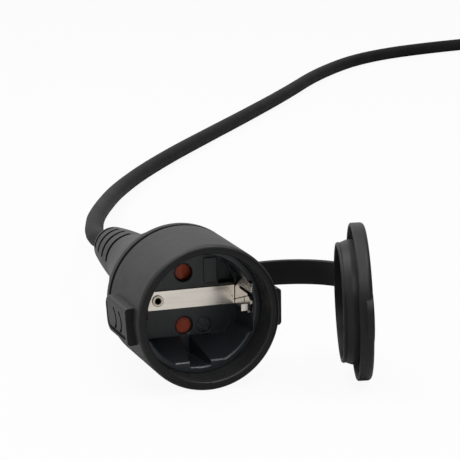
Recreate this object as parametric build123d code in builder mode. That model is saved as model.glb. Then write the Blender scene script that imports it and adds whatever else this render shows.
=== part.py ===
from build123d import *
import math
import os

os.makedirs("parts", exist_ok=True)

# Millimetres. The coupler lies along Y with its mouth in the plane y = 0, facing -Y, and its axis at z = 0.
# The lead leaves at the rear, +Y. The floor is the plane z = -barrel_radius.

# Fits
slip = 0.1                  # between moulded pieces that are pushed together
air = 0.3                   # between pieces that move past each other

# Coupler shell
mouth_radius = 22.2
barrel_wall = 3.2
mouth_depth = 6.8           # wide part of the bore, for a plug's or the lid's sealing collar
seat_step = 0.3             # between the wide part of the bore and the insert's seat
insert_front = 10.0         # depth of the shelf in the mouth
ring_seat_front = 31.5
ring_seat_depth = 2.2
ring_width = 2.4
ring_groove = 2.0           # open groove left in front of the lid's ring
shoulder_step = 1.2         # from the barrel down to the boot, behind the ring
shoulder_run = 0.32         # share of the taper over which the shoulder stays full
shoulder_taper = 0.86
neck_radius = 10.5
neck_end = 86.0
neck_run = 0.3              # share of the taper over which the neck narrows slowly
neck_flare = 1.22
relief_bulge = 0.3          # how far the bend relief swells past a straight cone
relief_end_radius = 7.3
relief_round = 1.6
boot_end = 114.0
chamber_wall = 1.9          # of the insert's rear half, outside the contacts
chamber_end = 56.0
clamp_room_radius = 7.0
clamp_room_start = 65.0
clamp_room_end = 83.0
rim_round = 1.6
mouth_round = 0.7

# Side grips
grip_rise = 2.45            # above the barrel, at the middle of the grip
grip_front = 5.6
grip_length = 24.0
grip_width = 13.0
grip_turn_left = 4.3        # how far round the grips sit from the socket's earth line
grip_turn_right = 0.5
grip_corner = 4.0           # in plan, at the rear
grip_groove = 1.4
grip_groove_depth = 0.9
grip_frame = 2.2
grip_round = 1.2
grip_mark_radius = 4.0
grip_mark_turn = 120.0
grip_mark_width = 1.3
grip_mark_depth = 0.8
grip_mark_front = 5.6       # from the grip's front to the first mark
grip_mark_pitch = 6.1

# Bend relief slots
slot_count = 4
slot_pitch = 7.6
slot_width = 2.4
slot_tail = 3.8             # from the middle of the last slot to the end of the boot
slot_floor_radius = 5.4
slot_turn = 84.0

# Socket insert
well_wall = 2.2
well_depth = 17.5
floor_thickness = 1.8
shutter_room = 2.6
back_disc_thickness = 1.6
room_wall = 4.3
pin_pitch = 19.0
pin_hole_radius = 2.95
pin_hole_lead = 0.4
well_lead = 0.5
ramp_gap = 7.6
ramp_floor_gap = 3.4
ramp_lip = 0.5
ramp_front_rise = 2.1       # above the wall of the well, at its front
ramp_foot = 0.55            # from the lower pin hole to the foot of the ramps
upper_ramp_foot = 2.95      # and from the upper pin hole
pad_width = 4.8
pad_height = 9.2
pad_rise = 0.4
pad_x = 9.7
pad_z = 9.6
pocket_left = 12.6          # deep corner pocket beside the pad
pocket_bottom = 4.6
pocket_top = 13.0
pocket_depth = 3.4
pocket_wall = 1.0
flat_height = 18.2          # flats at the sides of the well, behind the earth clips
screw_x = 7.4
screw_z = -9.9
screw_head_radius = 2.6
screw_head_height = 0.8
screw_recess = 0.7
screw_radius = 1.4
screw_length = 12.0
boss_wall = 1.5
pivot_radius = 1.9

# Contacts and cores
sleeve_radius = 3.3
sleeve_bore_radius = 2.35
sleeve_length = 14.0
sleeve_slot = 0.8
crimp_radius = 2.4
crimp_length = 7.0
core_radius = 1.2
core_circle = 1.5           # radius of the circle on which the three cores lie in the sheath
sheath_start = 67.0
clamp_start = 69.0
clamp_length = 11.0

# Earth strip
strip_width = 6.6
strip_thickness = 0.7
strip_z = 0.4               # middle of the strip above the axis
clip_bend = 0.8
flat_wall = 2.65            # of the insert, outside the clips
clip_leg_front = 10.4
clip_slope_start = 14.0     # where the leg's outer edge begins to fall towards its front
clip_slope = 1.7
clip_toe = 0.3              # height of the toe over the folded tab
tab_front = 12.0
tab_reach_right = 3.1       # how far the folded tabs stand in from the legs
tab_reach_left = 1.1
clip_tab_width = 2.4
clip_tab_z = -1.1
wing_front = 10.4
wing_slot = 1.2             # between the clip and its wing
wing_height = 3.9
wing_front_height = 3.0
wing_rear = 18.5
wing_root_rear = 25.0
wing_root_width = 3.4
rivet_x = -9.8
rivet_radius = 1.5
rivet_bore_radius = 1.0
rivet_flange_radius = 2.0
rivet_flange = 0.45
rivet_length = 11.0

# Shutter
shutter_thickness = 2.0
shutter_pad_radius = 3.5
shutter_arm_width = 4.4
shutter_hub_radius = 4.0
shutter_ramp = 1.1
spring_thickness = 0.35
spring_width = 1.4
spring_extra = 2.0          # beyond the room between a pin hole's middle and the wall under it
spring_bow = 2.2

# Lid, strap and ring
lid_radius = 27.1
lid_thickness = 4.8
lid_wall = 2.5
lid_round = 1.4
lid_lip = 1.0               # wall left outside the groove round the collar
lid_groove = 2.0
lid_edge = 0.35
collar_taper = 0.6          # from its root to its lip
collar_notch = 0.3
collar_gap = 0.8            # between its root and the wall of the mouth
collar_depth = 4.9
collar_wall = 1.3
lid_standoff = 6.0          # from the mouth to the lid when it is swung in front of it
lid_open = 72.3             # turn from there to the open position
hinge_x = 23.7
hinge_y = 29.9
hinge_lean = 2.24
thumb_radius = 11.0         # bulge of the thumb tab in plan
thumb_reach = 1.3
thumb_thickness = 2.4
lug_width = 10.2
lug_rise = 0.6              # strap's middle above the lug's
lug_reach = 2.6
strap_width = 9.0
strap_thickness = 1.9
strap_height = 4.5          # middle of the strap above the coupler's axis, at the ring
strap_slack = 18.0          # how strongly the strap springs out of the ring's lug
strap_lid_slack = 14.0      # and out of the lid's lug
strap_rake = 10.0
ring_lug_reach = 2.2

# Lead
cord_radius = 3.75
coil_radius = 44.0
coil_layers = 2
coil_x = 470.0
coil_y = 624.0
tie_thickness = 1.2
tie_width = 9.0
tie_slack = 0.4
tie_turn = 235.0

# Plug at the far end
plug_x = 514.0
plug_rear_y = 552.0
gland_radius = 12.5
gland_length = 20.0
gland_ribs = 8
gland_rib_radius = 1.6
handle_length = 44.0
handle_rear_radius = 15.5
handle_radius = 23.5
handle_wall = 3.0
handle_ribs = 10
handle_rib_height = 1.0
handle_rib_width = 3.0
flange_radius = 28.5
flange_length = 7.0
shroud_radius = 24.5
shroud_wall = 2.6
shroud_length = 48.0
carrier_length = 16.0
key_width = 8.0
key_rise = 2.2
pin_circle = 8.2
pin_radius = 2.5
earth_pin_radius = 3.5
pin_length = 32.0
pin_tail = 6.0
seal_height = 1.6
seal_width = 2.4
plug_screw_radius = 1.5
plug_screw_head_radius = 2.6
plug_screw_head = 2.0
plug_screw_length = 18.0
plug_screw_x = 16.4
plug_screw_z = 6.0

# Places worked out from the sizes above
floor_y = insert_front + well_depth
room_front = floor_y + floor_thickness
back_front = room_front + shutter_room
insert_rear = back_front + back_disc_thickness
insert_length = insert_rear - insert_front
ring_front = ring_seat_front + ring_groove
ring_rear = ring_front + ring_width
ring_seat_rear = ring_rear + slip
barrel_radius = mouth_radius + barrel_wall
seat_radius = mouth_radius - seat_step
insert_radius = seat_radius - slip
well_radius = insert_radius - well_wall
shutter_room_radius = insert_radius - room_wall
ramp_front_height = well_radius - ramp_front_rise
pin_z = pin_pitch / 2
spring_reach = shutter_room_radius - pin_z + spring_extra
pin_edge = pin_z + pin_hole_radius
chamber_radius = pin_z + sleeve_radius + slip + chamber_wall
strip_y = floor_y - strip_thickness / 2
flat_x = insert_radius - flat_wall
clip_leg_x = flat_x - slip - strip_thickness / 2
ring_radius = barrel_radius
ring_seat_radius = barrel_radius - ring_seat_depth
shoulder_radius = barrel_radius - shoulder_step
collar_root_radius = mouth_radius - collar_gap
collar_radius = collar_root_radius - collar_taper
grip_reach = barrel_radius + grip_rise
grip_root = barrel_radius - grip_rise
ground = -barrel_radius
section = math.pi * cord_radius**2


def across(y):
    """Plane across the coupler's axis at depth y, with its normal towards the mouth."""
    return Plane.XZ.offset(-y)


def beside(side, x):
    """Plane across a grip at one side of the coupler, +1 or -1, with its normal away from the axis."""
    outwards = Vector(side, 0, 0).rotate(Axis.Y, -grip_turn_left if side < 0 else -grip_turn_right)
    return Plane(origin=outwards * x, x_dir=(0, 1, 0), z_dir=outwards)


# The lid's place: in front of the mouth, then swung open about the strap's bending line
hinge = Vector(hinge_x, hinge_y, 0)
hinge_line = Axis((0, 0, 0), (-math.sin(math.radians(hinge_lean)), 0, math.cos(math.radians(hinge_lean))))
lid_centre = hinge + (Vector(0, -lid_standoff, 0) - hinge).rotate(hinge_line, lid_open)
lid_normal = Vector(0, 1, 0).rotate(hinge_line, lid_open)
lid_lug = Vector(1, 0, 0).rotate(hinge_line, lid_open)
lid_face = Plane(origin=lid_centre, x_dir=lid_lug, z_dir=lid_normal)
lid_section = Plane(origin=lid_centre, x_dir=lid_lug, z_dir=lid_lug.cross(lid_normal))

# Coupler shell: one rubber moulding with barrel, side grips, ring seat, boot and slotted bend relief
with BuildPart() as coupler_shell:
    taper_length = neck_end - ring_seat_rear
    relief_middle = (neck_end + boot_end) / 2
    relief_middle_radius = (neck_radius + relief_end_radius) / 2 + relief_bulge
    with BuildSketch():
        with BuildLine():
            Polyline(
                (mouth_radius, 0),
                (barrel_radius, 0),
                (barrel_radius, ring_seat_front),
                (ring_seat_radius, ring_seat_front),
                (ring_seat_radius, ring_seat_rear),
                (shoulder_radius, ring_seat_rear),
            )
            Bezier(
                (shoulder_radius, ring_seat_rear),
                (shoulder_radius * shoulder_taper, ring_seat_rear + taper_length * shoulder_run),
                (neck_radius * neck_flare, neck_end - taper_length * neck_run),
                (neck_radius, neck_end),
            )
            ThreePointArc(
                (neck_radius, neck_end),
                (relief_middle_radius, relief_middle),
                (relief_end_radius, boot_end),
            )
            Polyline(
                (relief_end_radius, boot_end),
                (cord_radius + slip, boot_end),
                (cord_radius + slip, clamp_room_end),
                (clamp_room_radius, clamp_room_end),
                (clamp_room_radius, clamp_room_start),
                (chamber_radius, chamber_end),
                (chamber_radius, insert_rear),
                (seat_radius, insert_rear),
                (seat_radius, mouth_depth),
                (mouth_radius, mouth_depth),
                (mouth_radius, 0),
            )
        make_face()
    revolve(axis=Axis.Y)
    rim = coupler_shell.edges().filter_by(GeomType.CIRCLE).filter_by_position(Axis.Y, -slip, slip)
    fillet(rim.sort_by(SortBy.RADIUS)[-1], rim_round)
    mouth_edge = coupler_shell.edges().filter_by(GeomType.CIRCLE).filter_by_position(Axis.Y, -slip, slip)
    fillet(mouth_edge.sort_by(SortBy.RADIUS)[0], mouth_round)
    tail_face = coupler_shell.faces().filter_by(GeomType.PLANE).sort_by(Axis.Y)[-1]
    fillet(tail_face.edges().sort_by(SortBy.RADIUS)[-1], relief_round)

    grip_rear = grip_front + grip_length
    for side in (-1, 1):
        with BuildSketch(beside(side, grip_root)) as grip_outline:
            with Locations((grip_front, 0)):
                Rectangle(grip_length, grip_width, align=(Align.MIN, Align.CENTER))
            fillet(grip_outline.vertices().group_by(Axis.X)[-1], grip_corner)
        extrude(amount=grip_reach - grip_root)
        outer_face = coupler_shell.faces().sort_by(Axis((0, 0, 0), (side, 0, 0)))[-1]
        fillet(outer_face.edges().filter_by(lambda edge: edge.center().Y > grip_front + slip), grip_round)
        lower_line = -side * (grip_width / 2 - grip_frame)
        with BuildSketch(beside(side, grip_reach)):
            with BuildLine() as groove_line:
                FilletPolyline(
                    (grip_rear - grip_frame, -lower_line),
                    (grip_rear - grip_frame, lower_line),
                    (grip_front + grip_frame, lower_line),
                    radius=grip_corner - grip_frame / 2,
                )
            trace(groove_line.line, grip_groove)
        extrude(amount=-grip_groove_depth, mode=Mode.SUBTRACT)
        with BuildSketch(beside(side, grip_reach)):
            for row in range(2):
                mark_centre = grip_front + grip_mark_front + row * grip_mark_pitch + grip_mark_radius
                with BuildLine(mode=Mode.PRIVATE) as mark:
                    CenterArc((mark_centre, 0), grip_mark_radius, 180 - grip_mark_turn / 2, grip_mark_turn)
                SlotArc(mark.edge(), grip_mark_width)
        extrude(amount=-grip_mark_depth, mode=Mode.SUBTRACT)

    for row in range(slot_count):
        for centre in (45, 225):
            with BuildSketch(Plane.XY.rotated((0, centre - slot_turn / 2, 0))):
                with Locations((slot_floor_radius, boot_end - slot_tail - row * slot_pitch)):
                    Rectangle(neck_radius, slot_width, align=(Align.MIN, Align.CENTER))
            revolve(axis=Axis.Y, revolution_arc=slot_turn, mode=Mode.SUBTRACT)

coupler_shell.part.label = "coupler_shell"
export_step(coupler_shell.part, "parts/coupler_shell.step")

# Socket insert: hard moulding pressed into the mouth, with the well, its floor and the guide ramps
with BuildPart() as socket_insert:
    with BuildSketch(Plane.YZ):
        with BuildLine():
            Polyline(
                (insert_front, -ramp_front_height - ramp_lip),
                (insert_front + ramp_lip, -ramp_front_height),
                (floor_y, -pin_edge - ramp_foot),
                (floor_y, -mouth_radius),
                (insert_front, -mouth_radius),
                close=True,
            )
        make_face()
        with BuildLine():
            Polyline(
                (insert_front, well_radius),
                (floor_y, pin_edge + upper_ramp_foot),
                (floor_y, mouth_radius),
                (insert_front, mouth_radius),
                close=True,
            )
        make_face()
    extrude(amount=well_radius, both=True)
    with BuildSketch(Plane.XY.offset(-mouth_radius)):
        with BuildLine():
            Polyline(
                (-ramp_gap / 2, insert_front),
                (ramp_gap / 2, insert_front),
                (ramp_floor_gap / 2, floor_y),
                (-ramp_floor_gap / 2, floor_y),
                close=True,
            )
        make_face()
    extrude(amount=2 * mouth_radius, mode=Mode.SUBTRACT)
    with BuildSketch(across(insert_front)):
        Circle(insert_radius)
    extrude(amount=-insert_length, mode=Mode.INTERSECT)
    with BuildSketch():
        with BuildLine():
            Polyline(
                (well_radius, insert_front + well_lead),
                (well_radius + well_lead, insert_front),
                (insert_radius, insert_front),
                (insert_radius, insert_rear),
                (shutter_room_radius, insert_rear),
                (shutter_room_radius, room_front),
                (0, room_front),
                (0, floor_y),
                (well_radius, floor_y),
                close=True,
            )
        make_face()
    revolve(axis=Axis.Y)
    with BuildSketch(across(insert_front)):
        Rectangle(2 * flat_x, flat_height)
    extrude(amount=-well_depth, mode=Mode.SUBTRACT)
    with BuildSketch(across(floor_y)):
        with Locations((pad_x, pad_z)):
            RectangleRounded(pad_width, pad_height, pad_rise)
    extrude(amount=pad_rise)
    with BuildSketch(across(room_front)):
        Circle(shutter_room_radius)
        with Locations((pocket_left - pocket_wall, pocket_bottom - pocket_wall)):
            Rectangle(well_radius, well_radius, align=Align.MIN, mode=Mode.INTERSECT)
    extrude(amount=-(shutter_room - slip))
    with BuildSketch(across(floor_y)):
        Circle(well_radius - air)
        with Locations((pocket_left, pocket_bottom)):
            Rectangle(well_radius, pocket_top - pocket_bottom, align=Align.MIN, mode=Mode.INTERSECT)
    extrude(amount=-pocket_depth, mode=Mode.SUBTRACT)
    with BuildSketch(across(room_front)):
        Circle(pivot_radius)
        with Locations((screw_x, screw_z)):
            Circle(screw_radius + boss_wall)
    extrude(amount=-(shutter_room - slip))
    with BuildSketch(across(floor_y)):
        with Locations((screw_x, screw_z)):
            Circle(screw_head_radius + slip)
    extrude(amount=-(screw_recess + screw_head_height), mode=Mode.SUBTRACT)
    with BuildSketch(across(floor_y)):
        with Locations((screw_x, screw_z)):
            Circle(screw_radius + slip)
        with Locations((rivet_x, strip_z)):
            Circle(rivet_radius + slip)
        with Locations((0, pin_z), (0, -pin_z)):
            Circle(pin_hole_radius)
    extrude(amount=-insert_length, mode=Mode.SUBTRACT)
    hole_rims = socket_insert.edges().filter_by(GeomType.CIRCLE).filter_by(
        lambda edge: abs(edge.radius - pin_hole_radius) < slip and abs(edge.arc_center.Y - floor_y) < slip
    )
    chamfer(hole_rims, pin_hole_lead)

socket_insert.part.label = "socket_insert"
export_step(socket_insert.part, "parts/socket_insert.step")

# Insert back: closes the shutter's room and holds the two contacts
with BuildPart() as insert_back:
    with BuildSketch(across(back_front)):
        Circle(shutter_room_radius - slip)
    extrude(amount=-(insert_rear - back_front))
    with BuildSketch(across(insert_rear)):
        Circle(chamber_radius - slip)
    extrude(amount=-(chamber_end - insert_rear))
    with BuildSketch(across(insert_rear)):
        with Locations((0, pin_z), (0, -pin_z)):
            Circle(sleeve_radius + slip)
    extrude(amount=-(chamber_end - insert_rear), mode=Mode.SUBTRACT)
    with BuildSketch(across(back_front)):
        with Locations((0, pin_z), (0, -pin_z)):
            Circle(pin_hole_radius)
        with Locations((screw_x, screw_z)):
            Circle(screw_radius + slip)
        with Locations((rivet_x, strip_z)):
            Circle(rivet_radius + slip)
    extrude(amount=-(chamber_end - back_front), mode=Mode.SUBTRACT)

insert_back.part.label = "insert_back"
export_step(insert_back.part, "parts/insert_back.step")

# Insert screw: joins the two halves of the insert
with BuildPart() as insert_screw:
    with BuildSketch(across(floor_y + screw_recess)):
        with Locations((screw_x, screw_z)):
            Circle(screw_head_radius)
    extrude(amount=-(screw_head_height - slip))
    with BuildSketch(across(floor_y + screw_recess)):
        with Locations((screw_x, screw_z)):
            Circle(screw_radius)
    extrude(amount=-screw_length)

insert_screw.part.label = "insert_screw"
export_step(insert_screw.part, "parts/insert_screw.step")

# Earth strip: flat bar across the floor, folded at each side into a leg with a tab and a wing
with BuildPart() as earth_strip:
    edge_z = strip_width / 2
    wing_base = edge_z + wing_slot
    tab_z = strip_z + clip_tab_z
    for side, tab_reach in ((-1, tab_reach_left), (1, tab_reach_right)):
        with BuildLine() as leg_path:
            FilletPolyline(
                (0, strip_y, strip_z),
                (side * clip_leg_x, strip_y, strip_z),
                (side * clip_leg_x, clip_leg_front, strip_z),
                radius=clip_bend,
            )
        with BuildSketch(Plane(origin=(0, strip_y, strip_z), x_dir=(0, 1, 0), z_dir=(side, 0, 0))):
            Rectangle(strip_thickness, strip_width)
        sweep(path=leg_path.line)
        leg_plane = Plane(origin=(side * clip_leg_x, 0, strip_z), x_dir=(0, 1, 0), z_dir=(1, 0, 0))
        with BuildSketch(leg_plane):
            with BuildLine():
                Polyline(
                    (clip_slope_start, edge_z),
                    (clip_leg_front, edge_z),
                    (clip_leg_front, edge_z - clip_slope),
                    close=True,
                )
            make_face()
            with BuildLine():
                Polyline(
                    (clip_leg_front, clip_toe),
                    (tab_front + clip_bend, clip_toe),
                    (tab_front + clip_bend, -edge_z),
                    (clip_leg_front, -edge_z),
                    close=True,
                )
            make_face()
        extrude(amount=strip_thickness, both=True, mode=Mode.SUBTRACT)
        tab_start = (side * clip_leg_x, clip_slope_start, tab_z)
        with BuildLine() as tab_path:
            FilletPolyline(
                tab_start,
                (side * clip_leg_x, tab_front + strip_thickness / 2, tab_z),
                (side * (clip_leg_x - tab_reach), tab_front + strip_thickness / 2, tab_z),
                radius=clip_bend,
            )
        with BuildSketch(Plane(origin=tab_start, x_dir=(1, 0, 0), z_dir=(0, -1, 0))):
            Rectangle(strip_thickness, clip_tab_width)
        sweep(path=tab_path.line)
        with BuildSketch(leg_plane):
            with BuildLine():
                Polyline(
                    (wing_root_rear, 0),
                    (wing_root_rear, edge_z),
                    (wing_rear, wing_base + wing_height),
                    (wing_front, wing_base + wing_front_height),
                    (wing_front, wing_base),
                    (wing_root_rear - wing_root_width, wing_base),
                    (wing_root_rear - wing_root_width, 0),
                    close=True,
                )
            make_face()
        extrude(amount=strip_thickness / 2, both=True)
    with BuildSketch(across(floor_y)):
        with Locations((rivet_x, strip_z)):
            Circle(rivet_radius + slip)
    extrude(amount=strip_thickness, both=True, mode=Mode.SUBTRACT)

earth_strip.part.label = "earth_strip"
export_step(earth_strip.part, "parts/earth_strip.step")

# Earth rivet: hollow rivet that clinches the strip and carries the earth core
with BuildPart() as earth_rivet:
    rivet_front = floor_y - strip_thickness
    with BuildSketch(across(rivet_front)):
        with Locations((rivet_x, strip_z)):
            Circle(rivet_flange_radius)
    extrude(amount=rivet_flange)
    with BuildSketch(across(rivet_front)):
        with Locations((rivet_x, strip_z)):
            Circle(rivet_radius)
    extrude(amount=-rivet_length)
    with BuildSketch(across(rivet_front)):
        with Locations((rivet_x, strip_z)):
            Circle(rivet_bore_radius)
    extrude(amount=rivet_flange, mode=Mode.SUBTRACT)
    with BuildSketch(across(rivet_front)):
        with Locations((rivet_x, strip_z)):
            Circle(rivet_bore_radius)
    extrude(amount=-rivet_length, mode=Mode.SUBTRACT)

earth_rivet.part.label = "earth_rivet"
export_step(earth_rivet.part, "parts/earth_rivet.step")

# Contacts: slotted brass sleeves behind the two pin holes, each with a crimp barrel for its core
sleeve_start = insert_rear + slip
crimp_end = sleeve_start + sleeve_length + crimp_length


def contact(z):
    with BuildSketch(across(sleeve_start)) as sleeve:
        with Locations((0, z)):
            Circle(sleeve_radius)
    extrude(sleeve.sketch, amount=-sleeve_length)
    with BuildSketch(across(sleeve_start)) as bore:
        with Locations((0, z)):
            Circle(sleeve_bore_radius)
            Rectangle(sleeve_slot, 3 * sleeve_radius)
    extrude(bore.sketch, amount=-(sleeve_length - sleeve_bore_radius), mode=Mode.SUBTRACT)
    with BuildSketch(across(sleeve_start + sleeve_length)) as crimp:
        with Locations((0, z)):
            Circle(crimp_radius)
    extrude(crimp.sketch, amount=-crimp_length)


with BuildPart() as contact_line:
    contact(pin_z)

contact_line.part.label = "contact_line"
export_step(contact_line.part, "parts/contact_line.step")

with BuildPart() as contact_neutral:
    contact(-pin_z)

contact_neutral.part.label = "contact_neutral"
export_step(contact_neutral.part, "parts/contact_neutral.step")

# Cores: three insulated conductors between the sheath's end and the contacts
core_start = crimp_end + slip
core_end = sheath_start - slip
core_lead = 2.0


def core(start, turn):
    end_x = core_circle * math.cos(math.radians(turn))
    end_z = core_circle * math.sin(math.radians(turn))
    with BuildLine() as core_path:
        FilletPolyline(
            start,
            (start[0], core_start + core_lead, start[2]),
            (end_x, core_end - core_lead, end_z),
            (end_x, core_end, end_z),
            radius=core_lead,
        )
    with BuildSketch(Plane(origin=start, x_dir=(1, 0, 0), z_dir=(0, 1, 0))) as core_section:
        Circle(core_radius)
    sweep(core_section.sketch, path=core_path.line)


with BuildPart() as core_line:
    core((0, core_start, pin_z), 90)

core_line.part.label = "core_line"
export_step(core_line.part, "parts/core_line.step")

with BuildPart() as core_neutral:
    core((0, core_start, -pin_z), -30)

core_neutral.part.label = "core_neutral"
export_step(core_neutral.part, "parts/core_neutral.step")

with BuildPart() as core_earth:
    core((rivet_x, floor_y - strip_thickness + rivet_length + slip, strip_z), 210)

core_earth.part.label = "core_earth"
export_step(core_earth.part, "parts/core_earth.step")

# Sheath end: the stretch of the lead's sheath inside the boot
with BuildPart() as sheath_end:
    with BuildSketch(across(sheath_start)):
        Circle(cord_radius)
    extrude(amount=-(boot_end - 2 * air - sheath_start))

sheath_end.part.label = "sheath_end"
export_step(sheath_end.part, "parts/sheath_end.step")

# Cord clamp: saddle around the sheath inside the boot
with BuildPart() as cord_clamp:
    with BuildSketch(across(clamp_start)):
        Circle(clamp_room_radius - slip)
        Circle(cord_radius + slip, mode=Mode.SUBTRACT)
    extrude(amount=-clamp_length)

cord_clamp.part.label = "cord_clamp"
export_step(cord_clamp.part, "parts/cord_clamp.step")

# Shutter: turns on the insert's pivot behind the floor and closes both pin holes
shutter_front = room_front + slip
with BuildPart() as shutter:
    with BuildSketch(across(shutter_front)):
        Circle(shutter_hub_radius)
        Rectangle(shutter_arm_width, pin_pitch)
        with Locations((0, pin_z), (0, -pin_z)):
            Circle(shutter_pad_radius)
        Circle(pivot_radius + slip, mode=Mode.SUBTRACT)
    extrude(amount=-shutter_thickness)
    for half in (-1, 1):
        with BuildSketch(Plane.XY.offset(half * pin_z - shutter_pad_radius)):
            with BuildLine():
                Polyline(
                    (0, shutter_front),
                    (half * shutter_pad_radius, shutter_front),
                    (half * shutter_pad_radius, shutter_front + shutter_ramp),
                    close=True,
                )
            make_face()
        extrude(amount=2 * shutter_pad_radius, mode=Mode.SUBTRACT)

shutter.part.label = "shutter"
export_step(shutter.part, "parts/shutter.step")

# Shutter spring: bowed leaf between the shutter's lower arm and the wall of its room
with BuildPart() as shutter_spring:
    spring_x = -(shutter_pad_radius + slip + spring_thickness)
    with BuildSketch(across(shutter_front + (shutter_thickness - spring_width) / 2)):
        with BuildLine() as spring_path:
            SagittaArc((spring_x, -pin_z), (spring_x - spring_reach, -pin_z), spring_bow)
        trace(spring_path.line, spring_thickness)
    extrude(amount=-spring_width)

shutter_spring.part.label = "shutter_spring"
export_step(shutter_spring.part, "parts/shutter_spring.step")

# Lid ring: rubber ring in its seat at the rear of the barrel, with the lug that the strap grows from
strap_base = strap_height - strap_width / 2
with BuildPart() as lid_ring:
    with BuildSketch(across(ring_front)):
        Circle(ring_radius)
    extrude(amount=-ring_width)
    with BuildSketch(Plane.XY.offset(strap_base)):
        with Locations((ring_seat_radius, ring_front)):
            Rectangle(ring_radius + ring_lug_reach - ring_seat_radius, ring_width, align=(Align.MIN, Align.MIN))
    extrude(amount=strap_width)
    with BuildSketch(across(ring_front)):
        Circle(ring_seat_radius + slip)
    extrude(amount=-ring_width, mode=Mode.SUBTRACT)

lid_ring.part.label = "lid_ring"
export_step(lid_ring.part, "parts/lid_ring.step")

# Lid cap: rubber disc with a hollow sealing collar, a thumb tab and the strap's lug, in its open position
with BuildPart() as lid_cap:
    with BuildSketch(lid_section):
        with BuildLine():
            Polyline(
                (0, lid_wall - lid_thickness),
                (0, -lid_thickness),
                (lid_radius - lid_round, -lid_thickness),
            )
            ThreePointArc(
                (lid_radius - lid_round, -lid_thickness),
                (lid_radius - lid_round * 0.293, lid_round * 0.293 - lid_thickness),
                (lid_radius, lid_round - lid_thickness),
            )
            Polyline(
                (lid_radius, lid_round - lid_thickness),
                (lid_radius, -lid_edge),
                (lid_radius - lid_edge, 0),
                (lid_radius - lid_lip, 0),
                (lid_radius - lid_lip - lid_edge, -lid_groove),
                (collar_root_radius, -lid_groove),
                (collar_root_radius, collar_depth * 0.3),
                (collar_radius - collar_notch, collar_depth * 0.8),
                (collar_radius, collar_depth - 2 * lid_edge),
                (collar_radius - lid_edge, collar_depth),
                (collar_radius - collar_wall, collar_depth),
                (collar_radius - collar_wall, lid_wall - lid_thickness),
                (0, lid_wall - lid_thickness),
            )
        make_face()
    revolve(axis=Axis(lid_centre, lid_normal))
    with BuildSketch(lid_face):
        with Locations((lid_radius - lid_round, 0)):
            Rectangle(lid_round + lug_reach, lug_width, align=(Align.MIN, Align.CENTER))
    extrude(amount=-lid_thickness)
    with BuildSketch(lid_face.offset(thumb_thickness - lid_thickness)):
        with Locations((thumb_radius - lid_radius - thumb_reach, 0)):
            Circle(thumb_radius)
        Circle(lid_radius - lid_lip, mode=Mode.SUBTRACT)
    extrude(amount=-thumb_thickness)

lid_cap.part.label = "lid_cap"
export_step(lid_cap.part, "parts/lid_cap.step")

# Lid strap: flat rubber band between the ring's lug and the lid's lug
with BuildPart() as lid_strap:
    strap_start = Vector(ring_radius + ring_lug_reach + air, ring_front + ring_width / 2, strap_height)
    strap_end = lid_centre + lid_lug * (lid_radius + lug_reach + air) - lid_normal * (lid_thickness / 2)
    strap_end += Vector(0, 0, lug_rise)
    strap_leave = Vector(1, 0, 0).rotate(Axis.Z, strap_rake)
    with BuildLine() as strap_path:
        Bezier(
            strap_start,
            strap_start + strap_leave * strap_slack,
            strap_end + lid_lug * strap_lid_slack,
            strap_end,
        )
    with BuildSketch(Plane(origin=strap_start, x_dir=(0, 0, 1), z_dir=strap_leave)):
        Rectangle(strap_width, strap_thickness)
    sweep(path=strap_path.line)

lid_strap.part.label = "lid_strap"
export_step(lid_strap.part, "parts/lid_strap.step")

# Lead: leaves the boot, sags to the floor, runs along it and bends round into a coil
rest_z = ground + cord_radius
coil_base = ground + tie_thickness + tie_slack
coil_height = 2 * cord_radius * coil_layers
tail_z = coil_base + coil_height + cord_radius
plug_z = ground + flange_radius
quarter = coil_radius * math.tan(math.radians(22.5))

cord_route = [
    (0, boot_end, 0),
    (-0.2, 129, -1.2),
    (2.4, 146, -3),
    (8.6, 168, -5),
    (17.4, 195.5, -8),
    (28.2, 226, -12.2),
    (40, 258, -16.6),
    (56.4, 297, -20.4),
    (79, 336, rest_z),
    (108, 376, rest_z),
    (143, 420, rest_z),
    (185, 472, rest_z),
    (232, 532, rest_z),
    (277, 594, rest_z),
    (330, 646, rest_z),
    (398, 669, rest_z),
    (coil_x, coil_y + coil_radius, coil_base + cord_radius),
]
tail_route = [
    (coil_x - quarter, coil_y + coil_radius, tail_z),
    (coil_x + quarter, coil_y + coil_radius, tail_z),
    (coil_x + coil_radius, coil_y + quarter, tail_z),
    (coil_x + coil_radius, coil_y - quarter, tail_z),
    (plug_x, plug_rear_y + 1.4 * quarter, plug_z - 1),
    (plug_x, plug_rear_y + air, plug_z),
]


def bend_radii(route):
    """Largest bend at each corner that leaves a straight piece between neighbouring bends."""
    points = [Vector(*point) for point in route]
    radii = []
    for before, corner, after in zip(points, points[1:], points[2:]):
        shorter = min((corner - before).length, (after - corner).length)
        turn = (corner - before).get_angle(after - corner)
        radii.append(0.45 * shorter / math.tan(math.radians(turn / 2)))
    return radii


with BuildPart() as cord_tube:
    cord_bends = bend_radii(cord_route)
    with BuildLine() as cord_path:
        FilletPolyline(*cord_route, radius=cord_bends)
    with BuildSketch(Plane(origin=cord_path.line @ 0, z_dir=cord_path.line % 0)):
        Circle(cord_radius)
    sweep(path=cord_path.line)

cord_tube.part.label = "cord_tube"
export_step(cord_tube.part, "parts/cord_tube.step")

with BuildPart() as cord_coil:
    with BuildSketch(Plane(origin=(coil_x, coil_y, coil_base), x_dir=(1, 0, 0), z_dir=(0, -1, 0))) as coil_section:
        with Locations((coil_radius, coil_height / 2)):
            Rectangle(2 * cord_radius, coil_height)
        chamfer(coil_section.vertices(), cord_radius / 2)
    revolve(axis=Axis((coil_x, coil_y, 0), (0, 0, 1)))

cord_coil.part.label = "cord_coil"
export_step(cord_coil.part, "parts/cord_coil.step")

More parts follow.
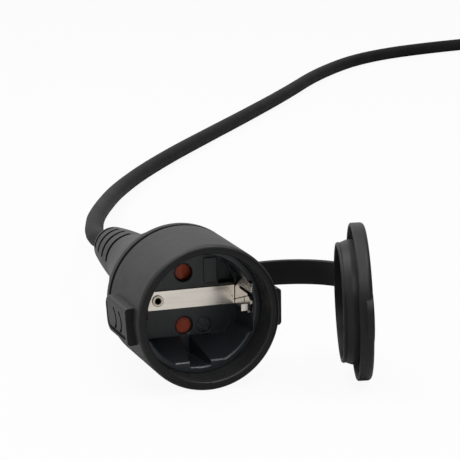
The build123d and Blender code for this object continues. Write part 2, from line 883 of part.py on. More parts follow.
with BuildPart() as cord_tail:
    tail_bends = bend_radii(tail_route)
    with BuildLine() as tail_path:
        FilletPolyline(*tail_route, radius=tail_bends)
    with BuildSketch(Plane(origin=tail_path.line @ 0, z_dir=tail_path.line % 0)):
        Circle(cord_radius)
    sweep(path=tail_path.line)

cord_tail.part.label = "cord_tail"
export_step(cord_tail.part, "parts/cord_tail.step")

# Coil tie: band round the coil
with BuildPart() as coil_tie:
    tie_out = Vector(1, 0, 0).rotate(Axis.Z, tie_turn)
    tie_centre = Vector(coil_x, coil_y, coil_base + coil_height / 2) + tie_out * coil_radius
    tie_inner = 2 * (cord_radius + tie_slack)
    tie_inner_height = coil_height + 2 * tie_slack
    with BuildSketch(Plane(origin=tie_centre, x_dir=tie_out, z_dir=tie_out.cross(Vector(0, 0, 1)))):
        RectangleRounded(tie_inner + 2 * tie_thickness, tie_inner_height + 2 * tie_thickness, cord_radius)
        RectangleRounded(tie_inner, tie_inner_height, cord_radius - tie_thickness, mode=Mode.SUBTRACT)
    extrude(amount=tie_width / 2, both=True)

coil_tie.part.label = "coil_tie"
export_step(coil_tie.part, "parts/coil_tie.step")

# Plug: three-pin industrial plug. Its own axis runs from the gland to the mouth.
handle_front = gland_length + handle_length
flange_front = handle_front + flange_length
shroud_front = handle_front + shroud_length
carrier_front = handle_front + carrier_length
shroud_bore = shroud_radius - shroud_wall
plug_section = Plane(origin=(plug_x, plug_rear_y, plug_z), x_dir=(1, 0, 0), z_dir=(0, 0, -1))
plug_axis = Axis((plug_x, plug_rear_y, plug_z), (0, -1, 0))


def along(distance):
    """Plane across the plug at a distance from its rear, with its normal towards the mouth."""
    return Plane(origin=(plug_x, plug_rear_y - distance, plug_z), x_dir=(1, 0, 0), z_dir=(0, -1, 0))


# Plug gland: ribbed nut that clamps the lead
with BuildPart() as plug_gland:
    with BuildSketch(along(0)):
        Circle(gland_radius)
        with PolarLocations(gland_radius, gland_ribs):
            Circle(gland_rib_radius)
        Circle(cord_radius + slip, mode=Mode.SUBTRACT)
    extrude(amount=gland_length - slip)

plug_gland.part.label = "plug_gland"
export_step(plug_gland.part, "parts/plug_gland.step")

# Plug handle: rear housing with grip ribs and two screw bosses
with BuildPart() as plug_handle:
    with BuildSketch(plug_section):
        with BuildLine():
            Polyline(
                (cord_radius + slip, gland_length),
                (handle_rear_radius, gland_length),
                (handle_rear_radius + handle_rib_height, gland_length + handle_wall),
                (handle_radius, gland_length + handle_length / 2),
                (handle_radius, handle_front),
                (handle_radius - handle_wall, handle_front),
                (handle_radius - handle_wall, gland_length + handle_length / 2),
                (handle_rear_radius - handle_wall, gland_length + 2 * handle_wall),
                (cord_radius + slip, gland_length + 2 * handle_wall),
                close=True,
            )
        make_face()
    revolve(axis=plug_axis)
    with BuildSketch(along(gland_length + handle_length / 2)):
        with PolarLocations(handle_radius, handle_ribs):
            Rectangle(2 * handle_rib_height, handle_rib_width)
    extrude(amount=handle_length / 2 - handle_wall)
    with BuildSketch(along(handle_front)):
        with Locations((plug_screw_x, plug_screw_z), (-plug_screw_x, plug_screw_z)):
            Circle(plug_screw_radius + 2 * boss_wall)
        Circle(handle_radius - handle_wall / 2, mode=Mode.INTERSECT)
    extrude(amount=-(handle_length / 2 - handle_wall))
    with BuildSketch(along(handle_front)):
        with Locations((plug_screw_x, plug_screw_z), (-plug_screw_x, plug_screw_z)):
            Circle(plug_screw_radius + slip)
    extrude(amount=-plug_screw_length, mode=Mode.SUBTRACT)

plug_handle.part.label = "plug_handle"
export_step(plug_handle.part, "parts/plug_handle.step")

# Plug shroud: flange and tubular shroud with the key rib under it
with BuildPart() as plug_shroud:
    with BuildSketch(along(handle_front + slip)):
        Circle(flange_radius)
    extrude(amount=flange_length - slip)
    with BuildSketch(along(flange_front)):
        Circle(shroud_radius)
        with Locations((0, -shroud_radius)):
            Rectangle(key_width, 2 * key_rise)
    extrude(amount=shroud_front - flange_front)
    with BuildSketch(along(handle_front)):
        Circle(shroud_bore)
    extrude(amount=shroud_length, mode=Mode.SUBTRACT)

plug_shroud.part.label = "plug_shroud"
export_step(plug_shroud.part, "parts/plug_shroud.step")

# Plug seal: ring in front of the flange
with BuildPart() as plug_seal:
    with BuildSketch(along(flange_front + slip)):
        Circle(shroud_radius + slip + seal_width)
        Circle(shroud_radius + slip, mode=Mode.SUBTRACT)
        with Locations((0, -shroud_radius)):
            Rectangle(key_width + air, 4 * key_rise, mode=Mode.SUBTRACT)
    extrude(amount=seal_height)

plug_seal.part.label = "plug_seal"
export_step(plug_seal.part, "parts/plug_seal.step")

# Pin carrier: moulded disc at the bottom of the shroud
pin_places = [(pin_circle * math.cos(math.radians(turn)), pin_circle * math.sin(math.radians(turn)))
              for turn in (30, 150, 270)]
with BuildPart() as pin_carrier:
    with BuildSketch(along(handle_front + slip)):
        Circle(shroud_bore - slip)
        with Locations(pin_places[0], pin_places[1]):
            Circle(pin_radius + slip, mode=Mode.SUBTRACT)
        with Locations(pin_places[2]):
            Circle(earth_pin_radius + slip, mode=Mode.SUBTRACT)
        with Locations((plug_screw_x, plug_screw_z), (-plug_screw_x, plug_screw_z)):
            Circle(plug_screw_radius + slip, mode=Mode.SUBTRACT)
    extrude(amount=carrier_length - slip)
    with BuildSketch(along(carrier_front)):
        with Locations((plug_screw_x, plug_screw_z), (-plug_screw_x, plug_screw_z)):
            Circle(plug_screw_head_radius + slip)
    extrude(amount=-(plug_screw_head + screw_recess), mode=Mode.SUBTRACT)

pin_carrier.part.label = "pin_carrier"
export_step(pin_carrier.part, "parts/pin_carrier.step")

# Carrier screws: two screws that hold the carrier to the handle
with BuildPart() as carrier_screws:
    with BuildSketch(along(carrier_front - screw_recess)):
        with Locations((plug_screw_x, plug_screw_z), (-plug_screw_x, plug_screw_z)):
            Circle(plug_screw_head_radius)
    extrude(amount=-(plug_screw_head - slip))
    with BuildSketch(along(carrier_front - screw_recess)):
        with Locations((plug_screw_x, plug_screw_z), (-plug_screw_x, plug_screw_z)):
            Circle(plug_screw_radius)
    extrude(amount=-(carrier_length + plug_screw_length / 2))

carrier_screws.part.label = "carrier_screws"
export_step(carrier_screws.part, "parts/carrier_screws.step")


def pin(place, radius):
    with BuildSketch(along(handle_front - pin_tail)) as pin_section:
        with Locations(place):
            Circle(radius)
    extrude(pin_section.sketch, amount=pin_tail + carrier_length + pin_length)


# Pins: two live pins and the thicker earth pin over the key
with BuildPart() as pin_line:
    pin(pin_places[0], pin_radius)
    chamfer(pin_line.faces().sort_by(Axis.Y)[0].edges(), pin_radius / 2)

pin_line.part.label = "pin_line"
export_step(pin_line.part, "parts/pin_line.step")

with BuildPart() as pin_neutral:
    pin(pin_places[1], pin_radius)
    chamfer(pin_neutral.faces().sort_by(Axis.Y)[0].edges(), pin_radius / 2)

pin_neutral.part.label = "pin_neutral"
export_step(pin_neutral.part, "parts/pin_neutral.step")

with BuildPart() as pin_earth:
    pin(pin_places[2], earth_pin_radius)
    chamfer(pin_earth.faces().sort_by(Axis.Y)[0].edges(), pin_radius / 2)

pin_earth.part.label = "pin_earth"
export_step(pin_earth.part, "parts/pin_earth.step")

# Plug sheath end: the stretch of the lead's sheath inside the plug
with BuildPart() as plug_sheath_end:
    with BuildSketch(along(0)):
        Circle(cord_radius)
    extrude(amount=gland_length + handle_length / 2)

plug_sheath_end.part.label = "plug_sheath_end"
export_step(plug_sheath_end.part, "parts/plug_sheath_end.step")

lead_length = sum(edge.length for edge in cord_path.edges())
tail_length = sum(edge.length for edge in tail_path.edges())
print("lead bends", [round(radius) for radius in cord_bends])
print("tail bends", [round(radius) for radius in tail_bends])
print("lead length", round(lead_length), "tail length", round(tail_length))
print("lead volume", round(cord_tube.part.volume), "section times length", round(section * lead_length))
print("tail volume", round(cord_tail.part.volume), "section times length", round(section * tail_length))
print("lid centre", lid_centre, "normal", lid_normal, "lug", lid_lug)
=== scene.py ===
import bmesh
import bpy
import math
from mathutils import Matrix, Vector
from mathutils.geometry import interpolate_bezier


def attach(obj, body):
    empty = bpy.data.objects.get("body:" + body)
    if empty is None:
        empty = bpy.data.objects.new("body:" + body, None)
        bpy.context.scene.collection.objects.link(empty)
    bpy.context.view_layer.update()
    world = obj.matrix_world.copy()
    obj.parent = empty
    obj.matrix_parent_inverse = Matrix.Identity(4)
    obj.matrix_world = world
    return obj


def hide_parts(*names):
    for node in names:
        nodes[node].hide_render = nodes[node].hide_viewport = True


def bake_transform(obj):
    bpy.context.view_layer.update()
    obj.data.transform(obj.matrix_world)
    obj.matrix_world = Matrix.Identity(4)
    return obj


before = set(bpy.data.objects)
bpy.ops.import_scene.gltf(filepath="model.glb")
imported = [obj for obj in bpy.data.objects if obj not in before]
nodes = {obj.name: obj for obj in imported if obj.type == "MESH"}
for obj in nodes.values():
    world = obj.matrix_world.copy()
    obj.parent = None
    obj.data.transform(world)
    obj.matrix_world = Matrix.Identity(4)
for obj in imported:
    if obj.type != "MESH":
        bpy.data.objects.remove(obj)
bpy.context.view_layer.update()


# Coupler shell. One thick black rubber moulding: barrel, side grips, boot and slotted bend relief.
# The tool's spark-eroded skin leaves it dull, with a cloudy bloom and a fine grain.
# Faces that look forward get a darker base colour, as painted shade for the weak light from the front.
def noise(tree, scale, detail, stretch=(1, 1, 1)):
    """Noise in the object's own coordinates, stretched along an axis where its scale is small."""
    place = tree.nodes.new("ShaderNodeTexCoord")
    mapping = tree.nodes.new("ShaderNodeMapping")
    mapping.inputs["Scale"].default_value = stretch
    texture = tree.nodes.new("ShaderNodeTexNoise")
    texture.inputs["Scale"].default_value = scale
    texture.inputs["Detail"].default_value = detail
    tree.links.new(place.outputs["Object"], mapping.inputs["Vector"])
    tree.links.new(mapping.outputs["Vector"], texture.inputs["Vector"])
    return texture.outputs["Fac"]


def tint(tree, amount, low, high, start, end):
    """Base colour that goes from low to high while the amount goes from start to end."""
    tone = tree.nodes.new("ShaderNodeValToRGB")
    tone.color_ramp.elements[0].position = start
    tone.color_ramp.elements[0].color = (*low, 1)
    tone.color_ramp.elements[1].position = end
    tone.color_ramp.elements[1].color = (*high, 1)
    tree.links.new(amount, tone.inputs["Fac"])
    tree.links.new(tone.outputs["Color"], tree.nodes["Principled BSDF"].inputs["Base Color"])


def roughen(tree, amount, low, high):
    """Roughness that goes from low to high with the amount."""
    spread = tree.nodes.new("ShaderNodeMapRange")
    spread.inputs["To Min"].default_value = low
    spread.inputs["To Max"].default_value = high
    tree.links.new(amount, spread.inputs["Value"])
    tree.links.new(spread.outputs["Result"], tree.nodes["Principled BSDF"].inputs["Roughness"])


def moulding(name, colour, bloom, gloss, dull, grain, depth, shine=0.22, edge=0.0002):
    """Moulded rubber or plastic: cloudy colour, uneven gloss, a fine grain and soft edges, in metres."""
    material = bpy.data.materials.new(name)
    material.use_nodes = True
    tree = material.node_tree
    shader = tree.nodes["Principled BSDF"]
    shader.inputs["Specular IOR Level"].default_value = shine
    tint(tree, noise(tree, 70, 4), colour, bloom, 0.32, 0.78)
    roughen(tree, noise(tree, 260, 3), gloss, dull)
    relief = tree.nodes.new("ShaderNodeBump")
    relief.inputs["Strength"].default_value = 0.35
    relief.inputs["Distance"].default_value = depth
    tree.links.new(noise(tree, 1 / grain, 2), relief.inputs["Height"])
    tree.links.new(relief.outputs["Normal"], shader.inputs["Normal"])
    if edge:
        edges = tree.nodes.new("ShaderNodeBevel")
        edges.samples = 6
        edges.inputs["Radius"].default_value = edge
        tree.links.new(edges.outputs["Normal"], relief.inputs["Normal"])
    return material


def maths(tree, operation, *terms):
    """Math node on sockets and numbers."""
    node = tree.nodes.new("ShaderNodeMath")
    node.operation = operation
    for socket, term in zip(node.inputs, terms):
        if isinstance(term, bpy.types.NodeSocket):
            tree.links.new(term, socket)
        else:
            socket.default_value = term
    return node.outputs[0]


def darken(tree, amount, shade):
    """Turn the base colour to a darker shade where the amount is 1."""
    colour = tree.nodes["Principled BSDF"].inputs["Base Color"]
    mixed = tree.nodes.new("ShaderNodeMixRGB")
    mixed.inputs["Color2"].default_value = (*shade, 1)
    tree.links.new(colour.links[0].from_socket, mixed.inputs["Color1"])
    tree.links.new(amount, mixed.inputs["Fac"])
    tree.links.new(mixed.outputs["Color"], colour)


def dress(material, *names):
    """Give CAD nodes one material."""
    for name in names:
        nodes[name].data.materials.clear()
        nodes[name].data.materials.append(material)


shell_rubber = moulding("shell_rubber", (0.009, 0.0092, 0.0096), (0.016, 0.0163, 0.017),
                        gloss=0.44, dull=0.56, grain=0.0004, depth=0.00006, shine=0.28)
# painted shade: the base colour turns darker wherever the surface faces forward
painted_front_shade = (0.0035, 0.0036, 0.0039)
forward_limit = -0.8
tree = shell_rubber.node_tree
surface = tree.nodes.new("ShaderNodeNewGeometry")
facing = tree.nodes.new("ShaderNodeSeparateXYZ")
tree.links.new(surface.outputs["Normal"], facing.inputs["Vector"])
darken(tree, maths(tree, "LESS_THAN", facing.outputs["Y"], forward_limit), painted_front_shade)
dress(shell_rubber, "coupler_shell")


# Socket insert, its back and the cord clamp. Hard black thermoplastic, moulded with crisp edges.
# The insert is pressed into the mouth, and its back is screwed to it from the front.
# It is smoother than the rubber and takes a satin light on the guide ramps.
insert_plastic = moulding("insert_plastic", (0.0105, 0.0135, 0.016), (0.018, 0.0225, 0.026),
                          gloss=0.30, dull=0.40, grain=0.0003, depth=0.00002, shine=0.5, edge=0.0005)
dress(insert_plastic, "socket_insert", "insert_back", "cord_clamp")


# Earth strip. Spring brass with a warm nickel plate, blanked and folded into a clip at each side.
# Rolling lines run along the strip, and the clip's upper wing is knurled to bite on the plug.
# The right clip's slits and tongue are dark lines of painted shade, and the left clip is painted dark as the
# mouth's shade.
def plated(name, colour, shade, roughness, run):
    """Plated or bare metal with rolling lines along the axis that has a small run."""
    material = bpy.data.materials.new(name)
    material.use_nodes = True
    tree = material.node_tree
    tree.nodes["Principled BSDF"].inputs["Metallic"].default_value = 1
    lines = noise(tree, 900, 4, run)
    tint(tree, lines, shade, colour, 0.35, 0.65)
    roughen(tree, lines, roughness - 0.07, roughness + 0.07)
    return material


nickel_strip = plated("nickel_strip", (0.80, 0.75, 0.68), (0.69, 0.64, 0.58), 0.24, (0.06, 1, 1))
# painted shade colour for the slit lines and for the left clip
painted_clip_shade = (0.03, 0.027, 0.023)
slit_rise = 0.325
slit_start = 0.00728
slit_width = 0.00045
tongue_y = 0.01656
tongue_z = 0.00105
tongue_width = 0.0009
tongue_length = 0.0023
right_clip_x = 0.018
left_clip_x = -0.0172
wing_start = 0.0044
knurl_scale = 1700
knurl_depth = 0.0003
tree = nickel_strip.node_tree
place = tree.nodes.new("ShaderNodeTexCoord")
where = tree.nodes.new("ShaderNodeSeparateXYZ")
tree.links.new(place.outputs["Object"], where.inputs["Vector"])
x, y, z = where.outputs
along_slit = maths(tree, "MULTIPLY_ADD", y, slit_rise, z)
in_slit = maths(tree, "COMPARE", along_slit, slit_start, slit_width / 2)
across_tongue = maths(tree, "COMPARE", y, tongue_y, tongue_width / 2)
along_tongue = maths(tree, "COMPARE", z, tongue_z, tongue_length / 2)
painted_cut_mask = maths(tree, "MAXIMUM", in_slit, maths(tree, "MULTIPLY", across_tongue, along_tongue))
right_clip_painted_shade = maths(tree, "MULTIPLY", painted_cut_mask, maths(tree, "GREATER_THAN", x, right_clip_x))
left_clip_painted_shade = maths(tree, "LESS_THAN", x, left_clip_x)
# painted shade: dark slit and tongue lines on the right clip, and a dark left clip
darken(tree, maths(tree, "MAXIMUM", right_clip_painted_shade, left_clip_painted_shade), painted_clip_shade)
knurl = tree.nodes.new("ShaderNodeTexVoronoi")
knurl.inputs["Scale"].default_value = knurl_scale
teeth = tree.nodes.new("ShaderNodeBump")
teeth.inputs["Distance"].default_value = knurl_depth
tree.links.new(place.outputs["Object"], knurl.inputs["Vector"])
tree.links.new(maths(tree, "GREATER_THAN", z, wing_start), teeth.inputs["Strength"])
tree.links.new(knurl.outputs["Distance"], teeth.inputs["Height"])
tree.links.new(teeth.outputs["Normal"], tree.nodes["Principled BSDF"].inputs["Normal"])
dress(nickel_strip, "earth_strip")


# Earth rivet. A hollow brass rivet, rolled over on the strip, that takes the earth core at its back.
# The rolled ring keeps the brass colour; inside and outside it the brass is darkened as painted shade of the
# hollow and the ring's edge.
rivet_brass = plated("rivet_brass", (0.62, 0.57, 0.49), (0.50, 0.45, 0.38), 0.3, (1, 1, 1))
painted_rivet_shade = (0.09, 0.07, 0.045)
rivet_x = -0.0098
rivet_z = 0.0004
rivet_radius = 0.00155
plain_ring_width = 0.0006
tree = rivet_brass.node_tree
place = tree.nodes.new("ShaderNodeTexCoord")
where = tree.nodes.new("ShaderNodeSeparateXYZ")
tree.links.new(place.outputs["Object"], where.inputs["Vector"])
x, y, z = where.outputs
aside = maths(tree, "SUBTRACT", x, rivet_x)
above = maths(tree, "SUBTRACT", z, rivet_z)
squares = maths(tree, "MULTIPLY_ADD", aside, aside, maths(tree, "MULTIPLY", above, above))
from_axis = maths(tree, "SQRT", squares)
plain_ring = maths(tree, "COMPARE", from_axis, rivet_radius, plain_ring_width / 2)
# painted shade: everything but the rolled ring is darkened
darken(tree, maths(tree, "SUBTRACT", 1.0, plain_ring), painted_rivet_shade)
dress(rivet_brass, "earth_rivet")


# Insert screw. A steel screw, sunk in the floor of the well, coloured near-black as painted shade of its
# deep recess.
# It joins the two halves of the insert.
# painted shade: a near-black colour for the screw in its recess
screw_painted_dark = plated("screw_painted_dark", (0.10, 0.10, 0.105), (0.05, 0.05, 0.055), 0.36, (1, 1, 1))
dress(screw_painted_dark, "insert_screw")


# Contacts and pins. The socket's sleeves are slotted brass that springs round a pin.
# The plug's pins are turned from solid brass and pressed into their carrier.
contact_brass = plated("contact_brass", (0.80, 0.62, 0.30), (0.66, 0.48, 0.20), 0.3, (1, 0.08, 1))
dress(contact_brass, "contact_line", "contact_neutral", "pin_line", "pin_neutral", "pin_earth")


# Carrier screws. Two screws of zinc-plated steel at the bottom of the plug's shroud.
# They hold the pin carrier to the handle.
screw_steel = plated("screw_steel", (0.62, 0.62, 0.62), (0.46, 0.46, 0.47), 0.36, (1, 1, 1))
dress(screw_steel, "carrier_screws")


# Cores. Three insulated conductors inside the boot, from the sheath's end to the contacts and the rivet.
# Their insulation is brown, blue, and green with yellow.
core_brown = moulding("core_brown", (0.20, 0.08, 0.03), (0.24, 0.10, 0.04),
                      gloss=0.4, dull=0.5, grain=0.0004, depth=0.00001)
core_blue = moulding("core_blue", (0.04, 0.15, 0.55), (0.06, 0.19, 0.62),
                     gloss=0.4, dull=0.5, grain=0.0004, depth=0.00001)
core_green = moulding("core_green", (0.14, 0.42, 0.05), (0.55, 0.55, 0.06),
                      gloss=0.4, dull=0.5, grain=0.0004, depth=0.00001)
dress(core_brown, "core_line")
dress(core_blue, "core_neutral")
dress(core_green, "core_earth")


# Shutter. A red plastic rocker that turns on the socket's axis behind the floor of the well.
# Each of its two pads closes a pin hole, and has a ramp that the plug's pin pushes aside.
shutter_red = moulding("shutter_red", (0.40, 0.065, 0.028), (0.54, 0.105, 0.05),
                       gloss=0.34, dull=0.46, grain=0.0004, depth=0.00002)
dress(shutter_red, "shutter")


# Shutter spring. A bowed leaf of spring steel, hooked into the wall of the shutter's room.
# Its free end rests against the shutter's lower arm.
def piece(name, form, material):
    """Object at the origin, made of a finished bmesh form."""
    mesh = bpy.data.meshes.new(name)
    form.to_mesh(mesh)
    form.free()
    mesh.materials.append(material)
    made = bpy.data.objects.new(name, mesh)
    bpy.context.collection.objects.link(made)
    return made


leaf_wall_end = Vector((-0.01395, 0.0297, -0.0095))
leaf_arm_end = Vector((-0.00395, 0.0297, -0.0095))
leaf_bow = -0.0022
leaf_width = 0.0014
leaf_thickness = 0.00035
leaf_steps = 12
leaf_form = bmesh.new()
leaf_verts = []
for step in range(leaf_steps + 1):
    bow = leaf_bow * (1 - (step / (leaf_steps / 2) - 1) ** 2)
    point = leaf_wall_end.lerp(leaf_arm_end, step / leaf_steps) + Vector((0, 0, bow))
    leaf_verts.append(leaf_form.verts.new(point))
for near, far in zip(leaf_verts, leaf_verts[1:]):
    leaf_form.edges.new((near, far))
grown = bmesh.ops.extrude_edge_only(leaf_form, edges=leaf_form.edges[:])["geom"]
far_side = [part for part in grown if isinstance(part, bmesh.types.BMVert)]
bmesh.ops.translate(leaf_form, verts=far_side, vec=(0, leaf_width, 0))
bmesh.ops.solidify(leaf_form, geom=leaf_form.faces[:], thickness=leaf_thickness)
bmesh.ops.recalc_face_normals(leaf_form, faces=leaf_form.faces)
leaf = piece("shutter_leaf", leaf_form, screw_steel)
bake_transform(leaf)
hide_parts("shutter_spring")


# Lid, its ring and the plug's seal. Softer black rubber, smooth with a dark sheen and lightly rounded edges.
# The ring sits in the groove behind the barrel. Lid, strap and ring are moulded in one piece.
soft_black = (0.006, 0.006, 0.0063)
soft_bloom = (0.010, 0.010, 0.0106)
lid_rubber = moulding("lid_rubber", soft_black, soft_bloom,
                      gloss=0.40, dull=0.52, grain=0.0005, depth=0.00003, edge=0.0008)
dress(lid_rubber, "lid_ring", "lid_cap", "plug_seal")


# Strap. A flat rubber band that grows out of the ring's lug and ends in the lid's lug.
# It bends along its length, and is made in two halves: one at the ring, the other at the lid.
strap_start = Vector((0.0279, 0.0347, 0.0045))
strap_end = Vector((0.06208, 0.02425, 0.00185))
strap_leave = Vector((0.9848, 0.1736, 0)) * 0.018
strap_arrive = Vector((0.3051, 0.9519, -0.0272)) * 0.014
strap_width = 0.009
strap_thickness = 0.0019
strap_corner = 0.0005
strap_points = 41
strap_rubber = moulding("strap_rubber", soft_black, soft_bloom,
                        gloss=0.40, dull=0.52, grain=0.0005, depth=0.00003, edge=0)
strap_line = interpolate_bezier(strap_start, strap_start + strap_leave, strap_end + strap_arrive, strap_end,
                                strap_points)


def strap_half(name, line):
    """Band with rounded corners, extruded along a line that turns about the vertical."""
    form = bmesh.new()
    bmesh.ops.create_grid(form, x_segments=1, y_segments=1, size=0.5)
    bmesh.ops.scale(form, verts=form.verts, vec=(strap_thickness, strap_width, 1))
    bmesh.ops.bevel(form, geom=form.verts, affect="VERTICES", offset=strap_corner, segments=3, profile=0.5,
                    material=-1)
    ahead = (line[1] - line[0]).to_2d().normalized().to_3d()
    aside = Vector((0, 0, 1)).cross(ahead)
    stand = Matrix((aside, Vector((0, 0, 1)), ahead)).transposed().to_4x4()
    bmesh.ops.transform(form, matrix=Matrix.Translation(line[0]) @ stand, verts=form.verts)
    face = form.faces[:][0]
    beyond = line[-1] * 2 - line[-2]
    for here, there, past in zip(line, line[1:], line[2:] + [beyond]):
        grown = bmesh.ops.extrude_face_region(form, geom=[face])["geom"]
        moved = [part for part in grown if isinstance(part, bmesh.types.BMVert)]
        face = [part for part in grown if isinstance(part, bmesh.types.BMFace)][0]
        before = there - here
        after = past - there
        turn = math.atan2(before.x * after.y - before.y * after.x, before.dot(after))
        bmesh.ops.translate(form, verts=moved, vec=before)
        bmesh.ops.rotate(form, verts=moved, cent=there, matrix=Matrix.Rotation(turn, 3, "Z"))
    bmesh.ops.recalc_face_normals(form, faces=form.faces)
    half = piece(name, form, strap_rubber)
    half.data.shade_smooth()
    half.data.set_sharp_from_angle(angle=math.radians(50))
    return half


middle = len(strap_line) // 2
ring_half = strap_half("strap_ring_half", strap_line[:middle + 1])
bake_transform(ring_half)
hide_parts("lid_strap")
lid_half = strap_half("strap_lid_half", strap_line[middle:])
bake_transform(lid_half)


# Lead. Three cores in one black rubber sheath, 7.5 mm thick and a metre and a half long.
# It leaves the bend relief, sags to the floor and runs off to the right.
# It ends in a tied coil of two turns beside its plug.
lead_radius = 0.00375
floor_height = -0.0254
lead_rest = floor_height + lead_radius
tie_thickness = 0.0016
coil_centre = Vector((0.470, 0.624))
coil_radius = 0.044
coil_bottom = floor_height + tie_thickness + lead_radius
climb_start = 0.6
climb_turns = 0.32
plug_x = 0.514
plug_height = 0.0031
lead_route = [
    (0, 0.114, 0),
    (-0.0002, 0.129, -0.0012),
    (0.0024, 0.146, -0.003),
    (0.0086, 0.168, -0.005),
    (0.0174, 0.1955, -0.008),
    (0.0282, 0.226, -0.0122),
    (0.040, 0.258, -0.0166),
    (0.0564, 0.297, -0.0204),
    (0.079, 0.336, lead_rest),
    (0.108, 0.376, lead_rest),
    (0.143, 0.420, lead_rest),
    (0.185, 0.472, lead_rest),
    (0.232, 0.532, lead_rest),
    (0.277, 0.594, lead_rest),
    (0.330, 0.646, lead_rest),
    (0.398, 0.669, lead_rest),
]
turn_points = 16
for step in range(2 * turn_points + 5):
    turns = step / turn_points
    first_climb = min(max((turns - climb_start) / climb_turns, 0), 1)
    second_climb = min(max((turns - climb_start - 1) / climb_turns, 0), 1)
    angle = math.pi / 2 - 2 * math.pi * turns
    lead_route.append((
        coil_centre.x + coil_radius * math.cos(angle),
        coil_centre.y + coil_radius * math.sin(angle),
        coil_bottom + 2 * lead_radius * (first_climb + second_climb),
    ))
lead_route += [
    (plug_x, 0.600, coil_bottom + 4 * lead_radius),
    (plug_x, 0.577, plug_height - 0.001),
    (plug_x, 0.5523, plug_height),
]
lead_curve = bpy.data.curves.new("lead", "CURVE")
lead_curve.dimensions = "3D"
lead_spline = lead_curve.splines.new("NURBS")
lead_spline.points.add(len(lead_route) - 1)
for point, spot in zip(lead_spline.points, lead_route):
    point.co = (*spot, 1)
lead_spline.order_u = 3
lead_spline.use_endpoint_u = True
lead_spline.resolution_u = 8
lead_curve.bevel_depth = lead_radius
lead_curve.bevel_resolution = 6
lead_curve.use_fill_caps = True
lead = bpy.data.objects.new("lead", lead_curve)
bpy.context.collection.objects.link(lead)
sheath_rubber = moulding("sheath_rubber", (0.008, 0.008, 0.0086), (0.014, 0.014, 0.015),
                         gloss=0.54, dull=0.7, grain=0.0006, depth=0.00006, shine=0.08, edge=0)
lead_curve.materials.append(sheath_rubber)
dress(sheath_rubber, "sheath_end", "plug_sheath_end")
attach(lead, "coupler")
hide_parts("cord_tube", "cord_coil", "cord_tail")


# Coil tie. A woven hook-and-loop band, black and fuzzy, wrapped round the coil's turns.
# It is closed on itself and holds the turns on top of each other.
tie_fabric = moulding("tie_fabric", (0.014, 0.014, 0.015), (0.03, 0.03, 0.032),
                      gloss=0.8, dull=0.95, grain=0.0005, depth=0.0002)
dress(tie_fabric, "coil_tie")


# Plug. The ribbed handle and the flanged shroud are tough blue nylon, joined at the flange.
# The dark carrier holds the pins in the shroud, and the dark gland nut clamps the lead at the rear.
plug_blue = moulding("plug_blue", (0.012, 0.085, 0.36), (0.02, 0.12, 0.44),
                     gloss=0.36, dull=0.48, grain=0.0004, depth=0.00003)
plug_dark = moulding("plug_dark", (0.03, 0.03, 0.032), (0.045, 0.045, 0.048),
                     gloss=0.4, dull=0.52, grain=0.0004, depth=0.00003)
dress(plug_blue, "plug_handle", "plug_shroud")
dress(plug_dark, "plug_gland", "pin_carrier")


# Floor. A white paper sweep that the camera sees nearly blown out, with a faint shadow.
# Other rays meet it as grey paper, so it doesn't light the object from below.
floor_gap = 0.0002
white_share = 0.93
white = bpy.data.materials.new("white_sweep")
white.use_nodes = True
tree = white.node_tree
tree.nodes.remove(tree.nodes["Principled BSDF"])
paper = tree.nodes.new("ShaderNodeBsdfDiffuse")
paper.inputs["Color"].default_value = (0.43, 0.43, 0.43, 1)
glow = tree.nodes.new("ShaderNodeEmission")
seen = tree.nodes.new("ShaderNodeLightPath")
mixed = tree.nodes.new("ShaderNodeMixShader")
tree.links.new(maths(tree, "MULTIPLY", seen.outputs["Is Camera Ray"], white_share), mixed.inputs["Fac"])
tree.links.new(paper.outputs[0], mixed.inputs[1])
tree.links.new(glow.outputs[0], mixed.inputs[2])
tree.links.new(mixed.outputs[0], tree.nodes["Material Output"].inputs["Surface"])
floor_form = bmesh.new()
bmesh.ops.create_grid(floor_form, x_segments=1, y_segments=1, size=6)
bmesh.ops.translate(floor_form, verts=floor_form.verts, vec=(0, 0, floor_height - floor_gap))
floor = piece("floor", floor_form, white)


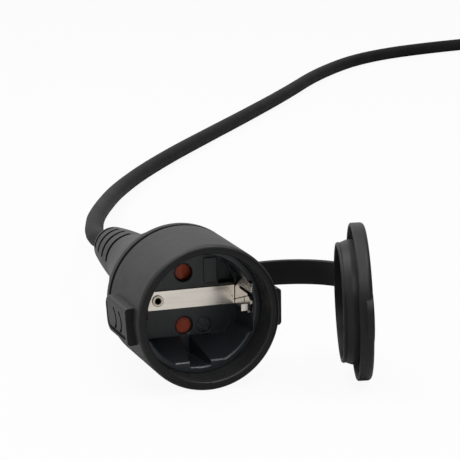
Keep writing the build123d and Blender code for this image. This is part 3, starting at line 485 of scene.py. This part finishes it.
# Light. A bright room behind and to the left that falls off towards the right and the front.
# A broad ceiling light and two softboxes, in front and above, pick out the barrel, the strip and the lid.
world = bpy.data.worlds.new("studio")
world.use_nodes = True
bpy.context.scene.world = world
tree = world.node_tree
room = tree.nodes["Background"]
room.inputs["Color"].default_value = (1, 1, 1, 1)
heading = tree.nodes.new("ShaderNodeTexCoord")
towards_window = tree.nodes.new("ShaderNodeVectorMath")
towards_window.operation = "DOT_PRODUCT"
towards_window.inputs[1].default_value = (-0.42, 0.54, 0.5)
falloff = tree.nodes.new("ShaderNodeMapRange")
falloff.inputs["From Min"].default_value = -0.3
falloff.inputs["From Max"].default_value = 0.6
falloff.inputs["To Min"].default_value = 0.12
falloff.inputs["To Max"].default_value = 1
tree.links.new(heading.outputs["Generated"], towards_window.inputs[0])
tree.links.new(towards_window.outputs["Value"], falloff.inputs["Value"])
tree.links.new(falloff.outputs["Result"], room.inputs["Strength"])


def lamp(name, place, target, size, power):
    """Square area light that faces a target."""
    light = bpy.data.lights.new(name, "AREA")
    light.shape = "SQUARE"
    light.size = size
    light.energy = power
    holder = bpy.data.objects.new(name, light)
    holder.location = place
    holder.rotation_euler = (Vector(target) - Vector(place)).to_track_quat("-Z", "Y").to_euler()
    bpy.context.collection.objects.link(holder)


lamp("ceiling", (-0.3, 0.35, 1.0), (-0.05, 0.12, 0), 0.7, 7)
lamp("front_softbox", (-0.25, -0.75, 0.95), (0, 0.02, 0), 0.5, 6)
lamp("top_softbox", (0.36, -0.25, 1.0), (0, 0.02, 0), 0.35, 6)


# Camera. A long lens in front of the mouth, a little above the coupler and to its left.
# Its place was fitted to the mouth, the pin holes and the lead on the floor.
lens = bpy.data.cameras.new("camera")
lens.lens = 180
lens.sensor_width = 36
camera = bpy.data.objects.new("camera", lens)
camera_place = (-0.24383, -0.70654, 0.20369)
yaw = math.radians(19.571)
pitch = math.radians(13.04)
roll = math.radians(-0.321)
ahead = Vector((math.sin(yaw) * math.cos(pitch), math.cos(yaw) * math.cos(pitch), -math.sin(pitch)))
level = Vector((math.cos(yaw), -math.sin(yaw), 0))
upright = level.cross(ahead)
right = level * math.cos(roll) + upright * math.sin(roll)
up = upright * math.cos(roll) - level * math.sin(roll)
camera.matrix_world = Matrix.Translation(camera_place) @ Matrix((right, up, -ahead)).transposed().to_4x4()
bpy.context.collection.objects.link(camera)
bpy.context.scene.camera = camera
bpy.context.scene.view_settings.view_transform = "Standard"
